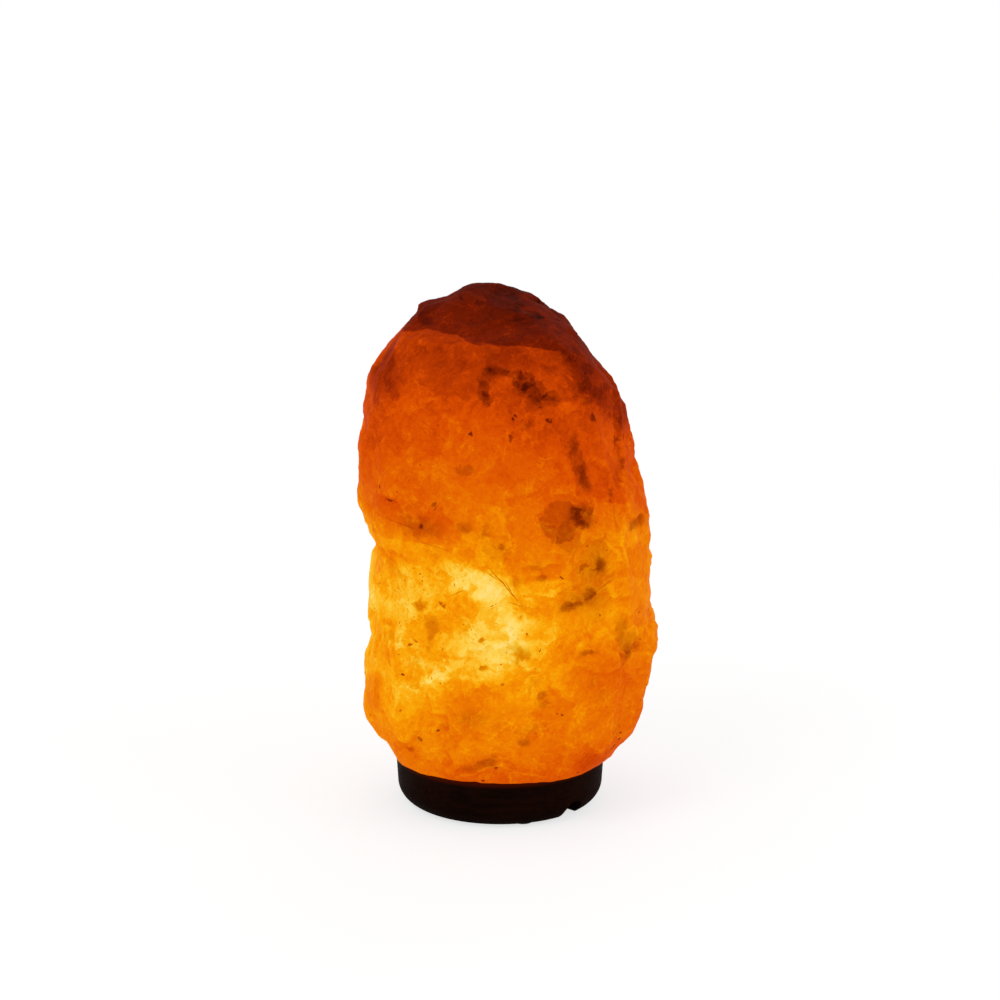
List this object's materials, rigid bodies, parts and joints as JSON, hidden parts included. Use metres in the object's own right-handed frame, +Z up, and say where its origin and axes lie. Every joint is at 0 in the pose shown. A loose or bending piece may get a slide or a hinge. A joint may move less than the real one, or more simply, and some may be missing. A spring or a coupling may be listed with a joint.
{
  "type": "salt crystal lamp",
  "caption": "Hewn block of rock salt lit from inside by a small screw-in bulb, standing on a low dark turned wooden base with a cord groove underneath.",
  "frame": {"origin": "on the axis of the wooden base, in the plane of the table that the feet stand on", "axes": "+Z up, -Y towards the front, the side that the picture shows, +X to the right as seen from the front"},
  "size_m": [0.1434, 0.1238, 0.2475],
  "materials": {
    "rock_salt": "satin",
    "dark_wood": "satin",
    "foot_rubber": "matte",
    "zinc_steel": "satin",
    "anchor_nylon": "matte",
    "spring_steel": "satin",
    "holder_resin": "satin",
    "steatite": "matte",
    "brass": "satin",
    "bronze": "satin",
    "cap_aluminium": "satin",
    "solder": "satin",
    "black_glass": "gloss",
    "cement": "matte",
    "clear_glass": "gloss",
    "stem_glass": "gloss",
    "hot_tungsten": "satin",
    "wire": "satin"
  },
  "bodies": {
    "lamp_holder": {"entry_nipple": "zinc_steel", "nipple_nut": "zinc_steel", "lock_washer": "zinc_steel", "clip_frame": "spring_steel", "holder_cap": "holder_resin", "contact_block": "steatite", "holder_sleeve": "holder_resin", "screw_shell": "brass", "centre_contact": "bronze", "centre_terminal": "brass", "shell_terminal": "brass", "terminal_screws": "zinc_steel", "contact_rivets": "brass"},
    "crystal_and_base": {"salt_crystal": "rock_salt", "wooden_base": "dark_wood", "base_screws": "zinc_steel", "screw_anchors": "anchor_nylon", "rubber_feet": "foot_rubber"},
    "clip_left": {"clip_wing_left": "spring_steel"},
    "clip_right": {"clip_wing_right": "spring_steel"},
    "bulb_tip": {"bulb_contact": "solder", "bulb_insulator": "black_glass"},
    "bulb": {"bulb_cap": "cap_aluminium", "side_solder": "solder", "bulb_cement": "cement", "bulb_glass": "clear_glass", "bulb_stem": "stem_glass", "filament": "hot_tungsten", "filament_leads": "wire", "filament_supports": "wire"}
  },
  "joints": [
    {"name": "lamp_lift", "type": "slide", "parent": "lamp_holder", "child": "crystal_and_base", "axis": [0, 0, 1], "range_m": [0, 0.12]},
    {"name": "clip_left_squeeze", "type": "hinge", "parent": "lamp_holder", "child": "clip_left", "pos_m": [-0.0168, 0, 0.0454], "axis": [0, -1, 0], "range_deg": [0, 8], "stiffness_Nm_per_rad": 0.05},
    {"name": "clip_right_squeeze", "type": "hinge", "parent": "lamp_holder", "child": "clip_right", "pos_m": [0.0168, 0, 0.0454], "axis": [0, 1, 0], "range_deg": [0, 8], "stiffness_Nm_per_rad": 0.05},
    {"name": "bulb_lift", "type": "slide", "parent": "lamp_holder", "child": "bulb_tip", "axis": [0, 0, 1], "range_m": [0, 0.0142]},
    {"name": "bulb_turn", "type": "hinge", "parent": "bulb_tip", "child": "bulb", "pos_m": [0, 0, 0.07], "axis": [0, 0, 1], "range_deg": [0, 1800]}
  ],
  "couplings": [
    {"joint": "bulb_lift", "follows": "bulb_turn", "m_per_rad": 0.00044913}
  ]
}
